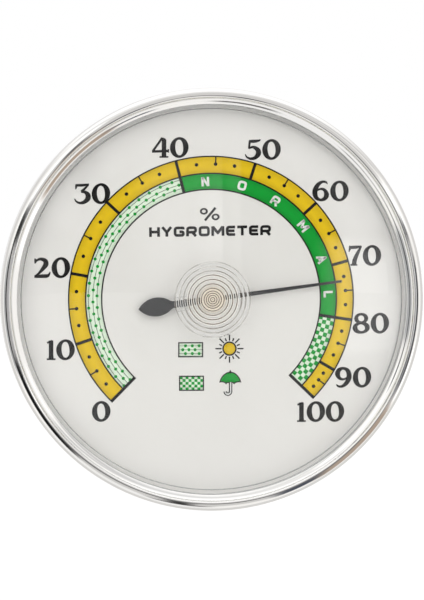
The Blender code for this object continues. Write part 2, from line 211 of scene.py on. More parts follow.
def meshed(work, name):
    """A bmesh, now finished with, as a mesh."""
    mesh = bpy.data.meshes.new(name)
    work.to_mesh(mesh)
    work.free()
    return mesh


def build(name, mesh, body, material, matrix=FACE, smooth=30, weigh=True):
    """Makes the piece from a mesh in the face frame, shades it and lets it ride its body."""
    mesh.transform(matrix)
    mesh.materials.clear()
    mesh.materials.append(material)
    mesh.shade_smooth()
    mesh.set_sharp_from_angle(angle=math.radians(smooth))
    piece = placed(name, mesh)
    if weigh:
        even = piece.modifiers.new("Even shading", "WEIGHTED_NORMAL")
        even.keep_sharp = True
    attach(piece, body)
    return piece


def lathe(profile, steps, closed=True):
    """A mesh turned about Z from (radius, height) points that run down its outer side."""
    count = len(profile)
    edges = [(i, (i + 1) % count) for i in range(count if closed else count - 1)]
    mesh = bpy.data.meshes.new("profile")
    mesh.from_pydata([(r, 0, z) for r, z in profile], edges, [])
    blank = placed("blank", mesh)
    turn = blank.modifiers.new("Turn", "SCREW")
    turn.steps = turn.render_steps = steps
    turn.use_merge_vertices = True
    turn.merge_threshold = 0.001 * MM
    return baked(blank)


def baked(blank):
    """The mesh of an object with its modifiers applied; the object is removed."""
    bpy.context.view_layer.update()
    graph = bpy.context.evaluated_depsgraph_get()
    mesh = bpy.data.meshes.new_from_object(blank.evaluated_get(graph))
    bpy.data.objects.remove(blank)
    return mesh


def prism(outline, low, high):
    """A closed outline in the XY plane as a solid between two heights."""
    work = bmesh.new()
    corners = [work.verts.new((x, y, low)) for x, y in outline]
    base = work.faces.new(corners)
    top = bmesh.ops.extrude_face_region(work, geom=[base])["geom"]
    raised = [v for v in top if isinstance(v, bmesh.types.BMVert)]
    bmesh.ops.translate(work, vec=(0, 0, high - low), verts=raised)
    bmesh.ops.recalc_face_normals(work, faces=work.faces)
    return meshed(work, "prism")


def cut(mesh, tools, operation="DIFFERENCE"):
    """The mesh with these (mesh, matrix) tools, which stand clear of each other, cut from it."""
    work = bmesh.new()
    for tool, matrix in tools:
        tool = tool.copy()
        tool.transform(matrix)
        work.from_mesh(tool)
    blank = placed("blank", mesh)
    tool = placed("tool", meshed(work, "tools"))
    change = blank.modifiers.new("Cut", "BOOLEAN")
    change.operation = operation
    change.object = tool
    result = baked(blank)
    bpy.data.objects.remove(tool)
    return result


def at(x=0.0, y=0.0, z=0.0, turn=0.0):
    return Matrix.Translation((x, y, z)) @ Matrix.Rotation(math.radians(turn), 4, "Z")


def case_profile():
    return [
        (0, -8.8 * MM),
        *rounded([
            (58.4 * MM, -8.8 * MM, 1.0 * MM), (59.2 * MM, 2.7 * MM, 0.15 * MM),
            (60.3 * MM, 2.7 * MM, 0), (60.3 * MM, 5.9 * MM, 0.2 * MM),
            (61.9 * MM, 5.9 * MM, 0.2 * MM), (61.9 * MM, 1.3 * MM, 0.3 * MM),
            (64.1 * MM, 1.3 * MM, 0.2 * MM), (64.1 * MM, -0.3 * MM, 0.2 * MM),
            (61.6 * MM, -0.3 * MM, 0), (60.8 * MM, -11.5 * MM, 1.6 * MM),
            (53.2 * MM, -11.5 * MM, 0.35 * MM), (52.4 * MM, -10.8 * MM, 0.35 * MM),
            (47.0 * MM, -10.8 * MM, 0), (46.9 * MM, -10.65 * MM, 0), (46.5 * MM, -10.65 * MM, 0),
            (46.4 * MM, -10.8 * MM, 0), (8.2 * MM, -10.8 * MM, 0), (8.0 * MM, -11.0 * MM, 0.1 * MM),
            (7.2 * MM, -11.0 * MM, 0.1 * MM), (7.0 * MM, -10.8 * MM, 0),
        ], 0.2 * MM)[1:],
        (0, -10.8 * MM),
    ]


def case_holes():
    """Screw holes with their head seats, the adjuster's hole, the keyhole and the vents."""
    seat, outside, top = -9.4 * MM, -12.5 * MM, -6.0 * MM
    stepped = lathe([
        (0, top), (1.1 * MM, top), (1.1 * MM, seat), (2.5 * MM, seat), (2.5 * MM, -10.65 * MM),
        (2.9 * MM, -11.05 * MM), (2.9 * MM, outside), (0, outside),
    ], 40, closed=False)
    holes = [(stepped, at(*polar(PILLAR_ORBIT, turn))) for turn in PILLAR_TURNS]
    adjuster = lathe([(0, -8.0 * MM), (5.0 * MM, -8.0 * MM), (5.0 * MM, -10.7 * MM),
                      (5.5 * MM, -11.2 * MM), (5.5 * MM, outside), (0, outside)], 72, closed=False)
    holes.append((adjuster, at()))
    head, neck, head_y, neck_y = 4.6 * MM, 2.5 * MM, 41.0 * MM, 48.8 * MM
    turn = math.degrees(math.acos(neck / head))
    keyhole = arc((0, head_y), head, 180 - turn, 360 + turn, 48) + arc((0, neck_y), neck, 0, 180, 24)
    holes.append((prism(keyhole, outside, -8.0 * MM), at()))
    end = VENT_WIDTH / 2
    reach = VENT_LENGTH / 2 - end
    slot = arc((reach, 0), end, -90, 90, 10) + arc((-reach, 0), end, 90, 270, 10)
    vent = prism(slot, outside, -8.0 * MM)
    for index in range(VENTS):
        degrees = 360 * index / VENTS
        if abs(degrees - 90) > 20:
            holes.append((vent, at(*polar(VENT_RADIUS, degrees), 0, degrees)))
    return holes


case_abs = moulded("case_abs", CASE_GREY)
case_mesh = lathe(case_profile(), 192, closed=False)
boss = lathe([(0, -7.2 * MM), (3.8 * MM, -7.2 * MM), (4.0 * MM, -7.4 * MM), (4.0 * MM, -9.3 * MM),
              (0, -9.3 * MM)], 40, closed=False)
case_mesh = cut(case_mesh, [(boss, at(*polar(PILLAR_ORBIT, t))) for t in PILLAR_TURNS], "UNION")
case_mesh = cut(case_mesh, case_holes())
rear_case = build("case_moulding", case_mesh, "case", case_abs, weigh=False)
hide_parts("rear_case")

# Movement: two stamped brass plates on three turned pillars, screwed together from both sides.
# The stampings keep a fine brushed grain; the turned pieces have rings round their own axis.
BRASS = (0.62, 0.40, 0.13)
STEEL = (0.46, 0.46, 0.47)


def metal(name, colour, roughness, grain=(1.0, 1.0, 1.0), tarnish=0.25):
    made, shader, place = finish_named(name)
    lines = place.stretched(grain).noise(900, 3.0, 0.6)
    patches = place.noise(160, 3.0)
    feed(shader, {
        "Base Color": (patches * tarnish + lines * 0.25).tint(colour, shaded(colour, 0.72)),
        "Metallic": 1.0,
        "Roughness": lines * 0.16 + patches * 0.1 + roughness,
        "Normal": lines.bump(0.01 * MM, 0.35),
    })
    return made


def carried(names, material):
    """Gives CAD nodes that stay as they are their finish."""
    for name in names:
        node = nodes[name]
        node.data.materials.clear()
        node.data.materials.append(material)
        for face in node.data.polygons:
            face.material_index = 0


brushed_brass = metal("brushed_brass", BRASS, 0.24, grain=(0.06, 1.0, 1.0))
turned_brass = metal("turned_brass", BRASS, 0.2, grain=(1.0, 0.1, 1.0))
zinc_steel = metal("zinc_steel", STEEL, 0.22)
carried(["movement_rear_plate", "movement_front_plate", "calibration_arm"], brushed_brass)
carried([f"movement_pillar_{i}" for i in (1, 2, 3)] + ["front_bush", "coil_stud", "coil_collet"],
        turned_brass)
carried([f"front_screw_{i}" for i in (1, 2, 3)] + ["friction_washer", "spindle"], zinc_steel)

# Case screws: three small zinc-plated pan heads with a cross recess, sunk in seats in the back.
# They hold the case and the rear plate to the pillars.
for index, turn in enumerate(PILLAR_TURNS, 1):
    seat = -9.7 * MM
    arm, half = 1.25 * MM, 0.28 * MM
    corners = [(arm, -half), (arm, half), (half, half)]
    cross = [(x * math.cos(q) - y * math.sin(q), x * math.sin(q) + y * math.cos(q))
             for q in (math.radians(90 * k + 12 + 31 * index) for k in range(4)) for x, y in corners]
    head = lathe([
        (0, seat), (0.8 * MM, seat), (2.1 * MM, seat), (2.1 * MM, seat - 0.45 * MM),
        *[(2.1 * MM * math.cos(math.radians(a)), seat - (0.45 + 0.5 * math.sin(math.radians(a))) * MM)
          for a in (15, 30, 45, 60, 75)],
        (0, seat - 0.95 * MM),
    ], 48, closed=False)
    shank = lathe([
        (0, -3.3 * MM), (0.8 * MM, -3.5 * MM), (0.8 * MM, seat - 0.2 * MM), (0, seat - 0.2 * MM),
    ], 32, closed=False)
    screw_mesh = cut(cut(head, [(shank, at())], "UNION"),
                     [(prism(cross, -11.5 * MM, -10.2 * MM), at())])
    screw = build(f"back_screw_{index}", screw_mesh, "case", zinc_steel,
                  FACE @ at(*polar(PILLAR_ORBIT, turn)), weigh=False)
    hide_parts(f"case_screw_{index}")

# Calibration stem: a turned brass stud whose slotted head shows in the middle of the back. A
# screwdriver in it turns the coil's outer end, and so the pointer.
stem_mesh = lathe(rounded([
    (0, -8.0 * MM, 0), (0.88 * MM, -8.0 * MM, 0), (0.88 * MM, -4.6 * MM, 0), (2.4 * MM, -4.6 * MM),
    (2.4 * MM, -5.7 * MM, 0), (3.0 * MM, -5.7 * MM), (3.0 * MM, -8.5 * MM, 0), (4.5 * MM, -8.5 * MM),
    (4.5 * MM, -10.3 * MM, 0.35 * MM), (0, -10.3 * MM, 0),
], 0.12 * MM), 72, closed=False)
slot_tool = prism([(-6 * MM, -0.5 * MM), (6 * MM, -0.5 * MM), (6 * MM, 0.5 * MM),
                   (-6 * MM, 0.5 * MM)], -10.8 * MM, -9.4 * MM)
stem_mesh = cut(stem_mesh, [(slot_tool, at())])
stem = build("adjuster_stem", stem_mesh, "calibrator", turned_brass, weigh=False)
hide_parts("calibration_stem")

# Humidity coil: a flat spiral of thin bronze strip, faced with a dark film that swells as it takes
# up water. It is pinned to the stud outside and to the collet inside.
coil_strip, shader, place = finish_named("coated_strip")
streaks = place.stretched((1.0, 12.0, 1.0)).noise(300, 3.0)
feed(shader, {
    "Base Color": streaks.tint((0.20, 0.10, 0.045), (0.42, 0.25, 0.11)),
    "Metallic": 0.55,
    "Roughness": streaks * 0.2 + 0.38,
    "Normal": streaks.bump(0.02 * MM, 0.4),
})
carried(["humidity_coil"], coil_strip)

# Seal: a black nitrile ring squeezed between the lens flange and the rim of the case.
rubber, shader, place = finish_named("nitrile_rubber")
skin = place.noise(1800, 3.0)
feed(shader, {
    "Base Color": skin.tint((0.010, 0.010, 0.011), (0.022, 0.022, 0.023)),
    "Roughness": skin * 0.2 + 0.55,
    "Normal": skin.bump(0.02 * MM, 0.4),
})
carried(["lens_gasket"], rubber)

# Dial: a thin aluminium disc, stoved off-white. The paint has a faint orange peel and dries a little
# unevenly. Toward the rim, and most at the top, it is painted paler: painted light against the
# bezel's shade.
PAPER = (0.80, 0.785, 0.755)
LIT_RIM_PAPER = (0.885, 0.868, 0.842)
DIAL_FRONT, DIAL_BACK = 3.6 * MM, 3.0 * MM
DIAL_EDGE, DIAL_HOLE = 60.0 * MM, 2.3 * MM


def from_spindle(place):
    """Millimetres from the spindle's axis."""
    flat = place.stretched((1, 0, 1))
    length = flat.node("ShaderNodeVectorMath", {"operation": "LENGTH"}, {0: flat}, output="Value")
    return length * 1000


dial_paint, shader, place = finish_named("dial_paint")
peel = place.noise(420, 2.0)
clouds = place.noise(26, 3.0)
uneven = (clouds * 0.8 + peel * 0.2).tint(shaded(PAPER, 0.97), shaded(PAPER, 1.025))
# Painted light: paler toward the rim, and more so at the top, to lift the shade the bezel casts there
rim_light_top = place.axis("Z").step(-45 * MM, -10 * MM)
painted_rim_light = from_spindle(place).step(30, 60) * (rim_light_top * 0.65 + 0.35)
feed(shader, {
    "Base Color": painted_rim_light.tint(uneven, LIT_RIM_PAPER),
    "Roughness": peel * 0.1 + 0.42,
    "Specular IOR Level": 0.15,
    "Normal": peel.bump(0.02 * MM, 0.15),
})
dial_mesh = lathe(rounded([
    (DIAL_HOLE, DIAL_FRONT), (DIAL_EDGE, DIAL_FRONT),
    (DIAL_EDGE, DIAL_BACK), (DIAL_HOLE, DIAL_BACK),
], 0.12 * MM), 192)
dial = build("dial_disc", dial_mesh, "case", dial_paint)
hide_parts("dial_plate")

# Printing: screen-printed inks, each a film of its own, laid on in turn: the yellow and green
# bands, then green dots and white letters, then every black line, figure and word.
SCALE_TURN = -0.9  # the plate sits a little askew in its case
SCALE = (-134.7, -107.5, -78.6, -46.2, -13.5, 19.0, 48.5, 75.3, 99.4, 120.9, 134.8)
OUTER, MIDDLE, INNER = 44.0 * MM, 38.75 * MM, 33.8 * MM
LINE = 0.4 * MM
LAYER = 0.018 * MM  # from one film to the next
INK = 0.012 * MM
DOT_POINTS = 20
FIGURE = 6.2 * MM


class Film:
    """Ink of one colour: flat strips, dots and patches in the face frame, gathered in a mesh."""

    def __init__(self, layer):
        self.work = bmesh.new()
        self.height = DIAL_FRONT + layer * LAYER
        self.place = Matrix.Identity(4)

    def patch(self, outline):
        corners = [self.work.verts.new(self.place @ Vector((x, y, self.height)))
                   for x, y in outline]
        self.work.faces.new(corners)

    def strip(self, path, widths, closed=False):
        """A strip along a path; widths is one number, or one for each point."""
        points = [Vector(p) for p in path]
        count = len(points)
        if not isinstance(widths, (list, tuple)):
            widths = [widths] * count
        sides = []
        for i, point in enumerate(points):
            before = points[i - 1] if closed or i else point
            after = points[(i + 1) % count] if closed or i < count - 1 else point
            first = (point - before).normalized() if (point - before).length else None
            last = (after - point).normalized() if (after - point).length else None
            first, last = first or last, last or first
            way = (first + last).normalized()
            reach = widths[i] / 2 / max(way.dot(first), 0.5)
            normal = Vector((-way.y, way.x)) * reach
            sides.append([self.work.verts.new(self.place @ Vector((*(point + side), self.height)))
                          for side in (-normal, normal)])
        for i in range(count if closed else count - 1):
            a, b = sides[i], sides[(i + 1) % count]
            self.work.faces.new((a[0], b[0], b[1], a[1]))

    def band(self, inner, outer, start, end):
        """A part of a ring; angles are clockwise from the top."""
        steps = max(2, int(abs(end - start) / 1.5))
        self.strip(arc((0, 0), (inner + outer) / 2, 90 - start, 90 - end, steps), outer - inner)

    def dot(self, radius, degrees, size):
        self.patch(circle(clock(radius, degrees), size / 2, DOT_POINTS))

    def done(self, name, ink):
        bmesh.ops.recalc_face_normals(self.work, faces=self.work.faces)
        for face in self.work.faces:
            if face.normal.z < 0:
                face.normal_flip()
        piece = build(name, meshed(self.work, name), "case", ink,
                      FACE @ at(turn=-SCALE_TURN), weigh=False)
        film = piece.modifiers.new("Film", "SOLIDIFY")
        film.thickness = INK
        film.offset = -1


def clock(radius, degrees):
    """A point at an angle clockwise from the top."""
    return polar(radius, 90 - degrees)


def ink(name, colour):
    made, shader, place = finish_named(name)
    cover = place.noise(900, 3.0)
    feed(shader, {
        "Base Color": cover.tint(shaded(colour, 0.94), shaded(colour, 1.05)),
        "Roughness": cover * 0.12 + 0.4,
        "Specular IOR Level": 0.02,
        "Normal": cover.bump(0.006 * MM, 0.3),
    })
    return made


yellow_ink = ink("yellow_ink", (0.815, 0.548, 0.007))
green_ink = ink("green_ink", (0.0, 0.345, 0.032))
mint_ink = ink("mint_ink", (0.78, 0.92, 0.74))
white_ink = ink("white_ink", (0.86, 0.86, 0.84))
black_ink = ink("black_ink", (0.008, 0.007, 0.007))
grey_ink = ink("grey_ink", (0.10, 0.14, 0.10))

yellow = Film(1)
yellow.band(MIDDLE, OUTER, SCALE[0], SCALE[10])
mint = Film(1)
mint.band(INNER, MIDDLE, SCALE[0], SCALE[4])
green = Film(1)
green.band(INNER, MIDDLE, SCALE[4], SCALE[8])
checks_ground = Film(1)
checks_ground.band(INNER, MIDDLE, SCALE[8], SCALE[10])

DRY_ROWS = (37.9 * MM, 36.5 * MM, 35.25 * MM)
DRY_PITCH = 5.8
dots = Film(3)
links = Film(2)
for row, radius in enumerate(DRY_ROWS):
    links.band(radius - 0.09 * MM, radius + 0.09 * MM, SCALE[0], SCALE[4])
    first = SCALE[0] + (3.3 if row == 1 else 0.5)
    count = int((SCALE[4] - first) / DRY_PITCH) + 1
    for i in range(count):
        dots.dot(radius, first + DRY_PITCH * i + 0.4, 0.98 * MM)

CHECK_ROWS = 4
CHECK_STEP = 2.0
checks = Film(3)
depth = (MIDDLE - INNER) / CHECK_ROWS
columns = int((SCALE[10] - SCALE[8]) / CHECK_STEP)
for column in range(columns):
    for row in range(CHECK_ROWS):
        if (column + row) % 2 == 0:
            start = SCALE[8] + CHECK_STEP * column
            low = INNER + depth * row
            checks.band(low, low + depth, start, start + CHECK_STEP)

black = Film(4)
for radius in (OUTER, MIDDLE, INNER):
    black.band(radius - LINE / 2, radius + LINE / 2, SCALE[0], SCALE[10])
for value, turn in enumerate(SCALE):
    inner = INNER if value in (0, 4, 8, 10) else MIDDLE
    black.strip([clock(inner - LINE / 2, turn), clock(OUTER + LINE / 2, turn)], 0.92 * MM)
for low, high in zip(SCALE, SCALE[1:]):
    step = (high - low) / 4
    for quarter in (1, 2, 3):
        black.dot((OUTER + MIDDLE) / 2 + 0.25 * MM, low + step * quarter, 1.12 * MM)
    black.strip([clock(MIDDLE + 2.7 * MM, low + step * 2), clock(OUTER, low + step * 2)], 0.42 * MM)


def flow(points, pieces=7):
    """A smooth (x, y, width) path through the points of a pen stroke."""
    if len(points) == 2:
        return points
    smooth = []
    for i in range(len(points) - 1):
        p0 = Vector(points[max(i - 1, 0)])
        p1, p2 = Vector(points[i]), Vector(points[i + 1])
        p3 = Vector(points[min(i + 2, len(points) - 1)])
        for k in range(pieces):
            t = k / pieces
            smooth.append(0.5 * ((2 * p1) + (p2 - p0) * t + (2 * p0 - 5 * p1 + 4 * p2 - p3) * t ** 2
                                 + (3 * p1 - p0 - 3 * p2 + p3) * t ** 3))
    smooth.append(Vector(points[-1]))
    return smooth


def bowl(centre, across, up, thick, thin, lean=0.0):
    """A closed pen stroke round an oval, thick at its sides and thin at top and bottom."""
    stroke = []
    for i in range(40):
        turn = math.radians(9 * i)
        side = math.cos(turn - math.radians(lean)) ** 2
        stroke.append((centre[0] + across * math.cos(turn), centre[1] + up * math.sin(turn),
                       thin + (thick - thin) * side))
    return stroke


# Pen strokes of the figures: x, y and width in hundredths of a figure's height
FIGURES = {
    "0": (88, [bowl((44, 50), 33, 45.5, 23, 10, 8)]),
    "1": (42, [[(22, 2, 19), (22, 96, 19)], [(0, 3, 6), (44, 3, 6)], [(28, 96, 5), (2, 84, 8)],
               [(12, 5, 4), (22, 16, 20), (32, 5, 4)]]),
    "2": (84, [[(9, 74, 5), (16, 86, 8), (36, 93, 12), (58, 84, 19), (61, 66, 22), (46, 44, 16),
                (26, 22, 9), (8, 7, 7)],
               [(4, 6, 11), (40, 8, 15), (66, 9, 15), (77, 16, 9), (83, 30, 3)],
               [(7, 97, 3), (9, 84, 8), (7, 70, 2)]]),
    "3": (80, [[(8, 92, 10), (38, 92, 11), (72, 96, 7)], [(8, 98, 3), (9, 86, 9), (6, 72, 2)],
               [(69, 94, 7), (52, 76, 9), (34, 60, 10)],
               [(33, 59, 8), (52, 58, 13), (67, 44, 21), (66, 24, 22), (48, 8, 15), (26, 4, 10),
                (8, 13, 6), (1, 26, 2)]]),
    "4": (86, [[(62, 3, 19), (62, 90, 19)], [(53, 98, 9), (28, 62, 9), (7, 33, 9)],
               [(2, 30, 10), (84, 33, 10)], [(40, 3, 6), (84, 3, 6)], [(84, 24, 3), (84, 42, 5)],
               [(46, 99, 3), (60, 88, 17), (68, 78, 12)]]),
    "5": (80, [[(20, 91, 11), (46, 91, 13), (70, 95, 8), (76, 101, 3)], [(24, 92, 9), (19, 54, 7)],
               [(18, 54, 5), (40, 62, 11), (63, 48, 20), (66, 28, 22), (50, 9, 15), (27, 4, 10),
                (8, 13, 6), (1, 27, 2)]]),
    "6": (84, [[(76, 84, 3), (68, 94, 8), (48, 95, 11), (26, 78, 18), (13, 48, 22), (19, 18, 18),
                (42, 5, 11), (64, 14, 18), (71, 33, 21), (62, 53, 14), (44, 60, 9), (24, 52, 6),
                (14, 38, 3)]]),
    "7": (66, [[(6, 90, 12), (36, 91, 13), (66, 96, 5)], [(5, 99, 3), (7, 86, 9), (2, 68, 2)],
               [(63, 94, 6), (46, 62, 14), (32, 30, 18), (27, 3, 19)], [(10, 3, 6), (44, 3, 6)]]),
    "8": (84, [bowl((42, 74), 25, 21, 17, 10, 10), bowl((42, 27.5), 31, 23, 21, 10, 10)]),
}
FIGURES["9"] = (84, [[(84 - x, 100 - y, w) for x, y, w in stroke] for stroke in FIGURES["6"][1]])
BOWLED = {"0": (0,), "8": (0, 1)}
FIGURE_PLACES = (  # centre of each figure on the dial, in millimetres
    ("0", -33.45, -34.3), ("10", -45.9, -15.4), ("20", -48.6, 9.7), ("30", -36.2, 32.3),
    ("40", -12.4, 46.4), ("50", 16.1, 45.8), ("60", 36.9, 33.1), ("70", 47.5, 13.3),
    ("80", 49.4, -7.5), ("90", 43.9, -24.1), ("100", 33.9, -34.6),
)
GAP_BETWEEN = 8
SQUARE = at(turn=SCALE_TURN) @ at(-0.3 * MM)  # the figures and the key stand square to the case
SPREAD = 1.007
figures = Film(4)
unit = FIGURE / 100
for number, x, y in FIGURE_PLACES:
    whole = sum(FIGURES[c][0] for c in number) + GAP_BETWEEN * (len(number) - 1)
    left = -whole / 2
    for c in number:
        wide, strokes = FIGURES[c]
        figures.place = SQUARE @ at(x * SPREAD * MM + left * unit, y * SPREAD * MM - 50 * unit)
        for i, stroke in enumerate(strokes):
            closed = i in BOWLED.get(c, ())
            path = stroke if closed else flow(stroke)
            figures.strip([(p[0] * unit, p[1] * unit) for p in path],
                          [(p[2] * 1.1 + 1.5) * unit for p in path], closed)
        left += wide + GAP_BETWEEN


def rounded_path(corners, size, closed=False):
    """A path with its inner corners rounded."""
    if closed:
        return rounded(corners, size, 4)
    ends = [(*corners[0], 0), *corners[1:-1], (*corners[-1], 0)]
    return rounded(ends, size, 4)


# Letters of even stroke: width, then paths in hundredths of the capital height
LETTERS = {
    "H": (100, [[(11, 0), (11, 100)], [(89, 0), (89, 100)], [(11, 50), (89, 50)]]),
    "Y": (100, [[(7, 100), (50, 45), (93, 100)], [(50, 50), (50, 0)]]),
    "G": (102, [[(91, 72), (91, 89), (11, 89), (11, 11), (91, 11), (91, 48), (54, 48)]]),
    "R": (102, [[(11, 0), (11, 89), (90, 89), (90, 42), (11, 42)], [(58, 42), (92, 0)]]),
    "O": (104, [[(11, 11), (93, 11), (93, 89), (11, 89)]]),
    "M": (122, [[(11, 0), (11, 100)], [(111, 0), (111, 100)], [(13, 96), (61, 30), (109, 96)]]),
    "E": (90, [[(88, 89), (11, 89), (11, 11), (88, 11)], [(11, 50), (82, 50)]]),
    "T": (96, [[(0, 89), (96, 89)], [(48, 89), (48, 0)]]),
    "N": (92, [[(11, 0), (11, 100)], [(81, 0), (81, 100)], [(13, 97), (79, 3)]]),
    "A": (96, [[(8, 0), (48, 97), (88, 0)], [(22, 30), (74, 30)]]),
    "L": (80, [[(11, 100), (11, 11), (78, 11)]]),
}


def letter(film, c, place, height, wide, weight):
    """Draws a letter centred on a place, its width scaled by wide."""
    width, paths = LETTERS[c]
    unit = height / 100
    film.place = place
    for path in paths:
        closed = c == "O"
        points = [((x - width / 2) * unit * wide, (y - 50) * unit) for x, y in path]
        corner = 0.24 * height if c in "GORE" else 0.02 * height
        film.strip(rounded_path(points, corner, closed) if len(points) > 2 else points, weight,
                   closed)


title = Film(4)
WORD = "HYGROMETER"
CAPITAL = 2.95 * MM
TITLE_GAP = 0.62 * MM
TITLE_HEIGHT = 20.95 * MM
TITLE_STRETCH = 1.075
widths = [LETTERS[c][0] * CAPITAL * TITLE_STRETCH / 100 for c in WORD]
left = -(sum(widths) + TITLE_GAP * (len(WORD) - 1)) / 2
for c, width in zip(WORD, widths):
    letter(title, c, at(left + width / 2, TITLE_HEIGHT), CAPITAL, TITLE_STRETCH, 0.84 * MM)
    left += width + TITLE_GAP
for x, y in ((-1.85, 27.1), (1.75, 25.3)):
    title.place = at(x * MM, y * MM) @ Matrix.Diagonal((1.22, 1, 1, 1))
    title.strip(circle((0, 0), 0.76 * MM, 24), 0.52 * MM, closed=True)
title.place = at(0.0, 26.2 * MM)
title.strip([(-1.55 * MM, -1.95 * MM), (1.75 * MM, 1.95 * MM)], 0.72 * MM)

ZONE_RADIUS, ZONE_CAPITAL = 36.25 * MM, 2.85 * MM
NORMAL_PLACES = (("N", -2.0), ("O", 16.2), ("R", 34.2), ("M", 52.6), ("A", 71.1), ("L", 88.7))
zone = Film(3)
for c, turn in NORMAL_PLACES:
    centre = clock(ZONE_RADIUS, turn)
    letter(zone, c, at(*centre, turn=-turn), ZONE_CAPITAL, 0.86, 0.72 * MM)

# Key below the spindle, printed with the same inks: the dry pattern beside a sun, and the wet
# pattern beside an umbrella.
KEY_LINE = 0.36 * MM


def box_outline(centre, wide, high):
    x, y = centre
    return [(x - wide / 2, y - high / 2), (x + wide / 2, y - high / 2),
            (x + wide / 2, y + high / 2), (x - wide / 2, y + high / 2)]


DRY_BOX = (-6.05 * MM, -15.6 * MM)
WET_BOX = (-5.8 * MM, -25.95 * MM)
BOX_WIDE, BOX_HIGH = 7.35 * MM, 4.3 * MM
symbols = Film(4)
sun_disc = Film(2)
canopy = Film(2)
handle_fill = Film(5)
for film in (mint, checks_ground, links, dots, checks, symbols, sun_disc, canopy, handle_fill):
    film.place = SQUARE
mint.patch(box_outline(DRY_BOX, BOX_WIDE, BOX_HIGH))
checks_ground.patch(box_outline(WET_BOX, BOX_WIDE, BOX_HIGH))
for centre in (DRY_BOX, WET_BOX):
    symbols.strip(box_outline(centre, BOX_WIDE, BOX_HIGH), KEY_LINE, closed=True)
for row in (-1, 0, 1):
    y = DRY_BOX[1] + row * 1.2 * MM
    links.strip([(DRY_BOX[0] - BOX_WIDE / 2, y), (DRY_BOX[0] + BOX_WIDE / 2, y)], 0.13 * MM)
    for i in range(3):
        x = DRY_BOX[0] + (i - 1) * (2.1 if row else 1.9) * MM + (0.5 * MM if row else -0.55 * MM)
        dots.patch(circle((x, y), 0.47 * MM, DOT_POINTS))
square_wide, square_high = BOX_WIDE / 8, BOX_HIGH / 5
for column in range(8):
    for row in range(5):
        if (column + row) % 2 == 0:
            x = WET_BOX[0] - BOX_WIDE / 2 + square_wide * (column + 0.5)
            y = WET_BOX[1] - BOX_HIGH / 2 + square_high * (row + 0.5)
            checks.patch(box_outline((x, y), square_wide, square_high))
SUN = (5.95 * MM, -15.3 * MM)
SUN_RADIUS = 2.0 * MM
sun_disc.patch(circle(SUN, SUN_RADIUS, 36))
symbols.strip(circle(SUN, SUN_RADIUS, 36), 0.44 * MM, closed=True)
for beam in range(16):
    reach = 4.35 * MM if beam % 2 == 0 else 3.45 * MM
    turn = 90 + 22.5 * beam
    symbols.strip([polar(2.45 * MM, turn, SUN), polar(reach, turn, SUN)], 0.4 * MM)
TOP = (6.2 * MM, -22.6 * MM)
CANOPY_HALF, CANOPY_DEEP = 3.2 * MM, 3.0 * MM
edge = []
for i in range(-12, 13):
    out = abs(i) / 12
    fall = 0.5 * (1 - math.sqrt(1 - out ** 2)) + 0.5 * out ** 2.2
    edge.append((TOP[0] + CANOPY_HALF * i / 12, TOP[1] - CANOPY_DEEP * fall))
hem = [(TOP[0] + x * MM, TOP[1] - CANOPY_DEEP + y * MM) for x, y in (
    (2.7, 0.1), (2.1, 0.02), (1.5, -0.2), (1.2, -0.5), (0.9, -0.15), (0.3, -0.15), (0, -0.5),
    (-0.4, -0.15), (-1.0, -0.15), (-1.3, -0.5), (-1.6, -0.2), (-2.1, 0.02), (-2.7, 0.1))]
canopy.patch(edge + hem)
symbols.strip(edge + hem, 0.32 * MM, closed=True)
foot = TOP[1] - 5.9 * MM
handle = [(TOP[0] + 0.1 * MM, TOP[1] - 3.1 * MM), (TOP[0] + 0.1 * MM, foot)]
handle += arc((TOP[0] - 0.75 * MM, foot), 0.85 * MM, 0, -180, 12)
symbols.strip(handle, 1.05 * MM)
handle_fill.strip(handle, 0.4 * MM)
symbols.strip([(TOP[0], TOP[1] - 0.3 * MM), (TOP[0], TOP[1] + 0.65 * MM)], [0.8 * MM, 0.3 * MM])

for film, name, colour in (
    (yellow, "print_yellow_band", yellow_ink), (sun_disc, "print_sun", yellow_ink),
    (mint, "print_dry_ground", mint_ink), (green, "print_green_band", green_ink),
    (checks_ground, "print_wet_ground", mint_ink), (checks, "print_wet_checks", green_ink),
    (canopy, "print_umbrella", green_ink), (links, "print_dry_lines", grey_ink),
    (dots, "print_dry_dots", green_ink), (zone, "print_zone_word", white_ink),
    (handle_fill, "print_umbrella_handle", white_ink), (black, "print_scale", black_ink),
    (figures, "print_figures", black_ink), (title, "print_title", black_ink),
    (symbols, "print_symbols", black_ink),
):
    film.done(name, colour)

# Pointer: stamped aluminium, 0.4 mm thick, painted satin black. A pressed rib stiffens the needle,
# and the leaf behind balances it.
POINTER_TURN = 82.2
REST = FACE @ at(turn=-POINTER_TURN)
POINTER_BACK, POINTER_FRONT = 5.6 * MM, 5.88 * MM
RIB = 0.12 * MM
NEEDLE, TAIL, EYE = 40.6, 22.8, 3.2  # millimetres from the spindle
pointer_paint, shader, place = finish_named("pointer_paint")
speck = place.noise(1400, 2.0)
feed(shader, {
    "Base Color": speck.tint((0.012, 0.012, 0.013), (0.024, 0.024, 0.026)),
    "Roughness": speck * 0.12 + 0.34,
    "Coat Weight": 0.05,
    "Normal": speck.bump(0.008 * MM, 0.5),
})


def pointer_half(y):
    """Half the pointer's width at a distance up (+) or down (-) from the spindle."""
    eye = math.sqrt(max(EYE ** 2 - y * y, 0))
    if y >= 0:
        return max(eye, 0.78 - 0.4 * y / NEEDLE)
    bend, middle, fat = 7.05, 17.1, 2.9
    leaf = math.sqrt(max(bend ** 2 - (-y - middle) ** 2, 0)) - (bend - fat)
    neck = 1.05 if y > -13 else 0
    return max(eye, neck, leaf, 0.02)


def rib_height(y):
    """The rib fades out before the eye and the leaf."""
    reach = min(max((abs(y) - 4.0) / 2.5, 0), 1)
    return reach * (1 if y > 0 else min(max((12.6 + y) / 1.5, 0), 1))


